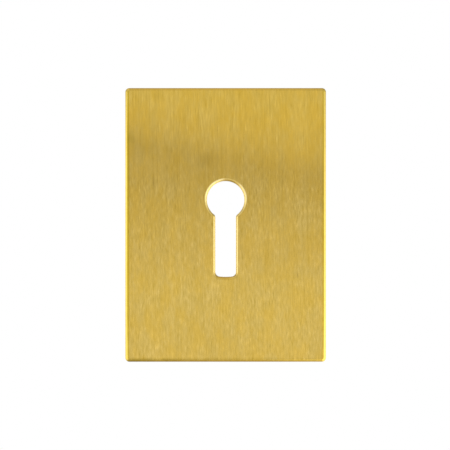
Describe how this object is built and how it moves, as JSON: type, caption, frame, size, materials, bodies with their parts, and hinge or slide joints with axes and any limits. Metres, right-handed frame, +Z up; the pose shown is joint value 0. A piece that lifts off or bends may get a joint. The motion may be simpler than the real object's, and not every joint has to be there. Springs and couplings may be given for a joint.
{
  "type": "keyhole escutcheon",
  "caption": "Flat rectangular keyhole escutcheon in satin brass, with softened front edges and a keyhole through it; its flat back is fixed to a door or drawer front.",
  "frame": {"origin": "on the axis of the key, at the centre of the keyhole's round bow, in the plane of the plate's back", "axes": "+Z up the plate, +Y into the door or drawer front behind it, -Y out of the visible front face, +X to the right as seen from the front"},
  "size_m": [0.044, 0.002, 0.06],
  "materials": {
    "satin_brass": "satin, with a fine upright grain, under clear lacquer"
  },
  "bodies": {
    "root": {"escutcheon_plate": "satin_brass"}
  },
  "joints": []
}
